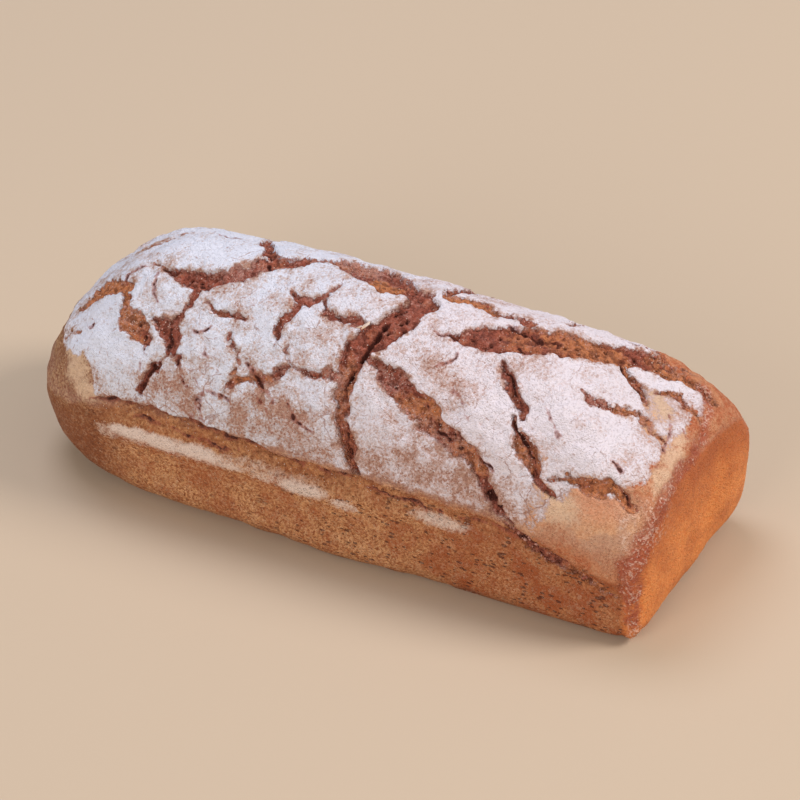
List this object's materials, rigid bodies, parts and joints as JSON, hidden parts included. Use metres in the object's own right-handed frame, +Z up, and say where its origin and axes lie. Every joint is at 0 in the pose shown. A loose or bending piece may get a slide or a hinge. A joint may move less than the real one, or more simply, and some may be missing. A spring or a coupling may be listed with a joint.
{
  "type": "rye bread loaf",
  "caption": "Tin-baked rye bread loaf: a long flat-bottomed loaf with moulded sides and a high domed crust, torn open in the oven and dusted with flour.",
  "frame": {"origin": "under the middle of the loaf's bounding box, on the surface that the flat base rests on", "axes": "+X runs along the loaf towards its squarer end, -Y is the front long side, +Z is up"},
  "size_m": [0.3026, 0.1092, 0.1081],
  "materials": {
    "crust": "matte baked crust, browned in the tears and on the sides and dusted with flour on top"
  },
  "bodies": {
    "root": {"loaf": "crust"}
  },
  "joints": []
}
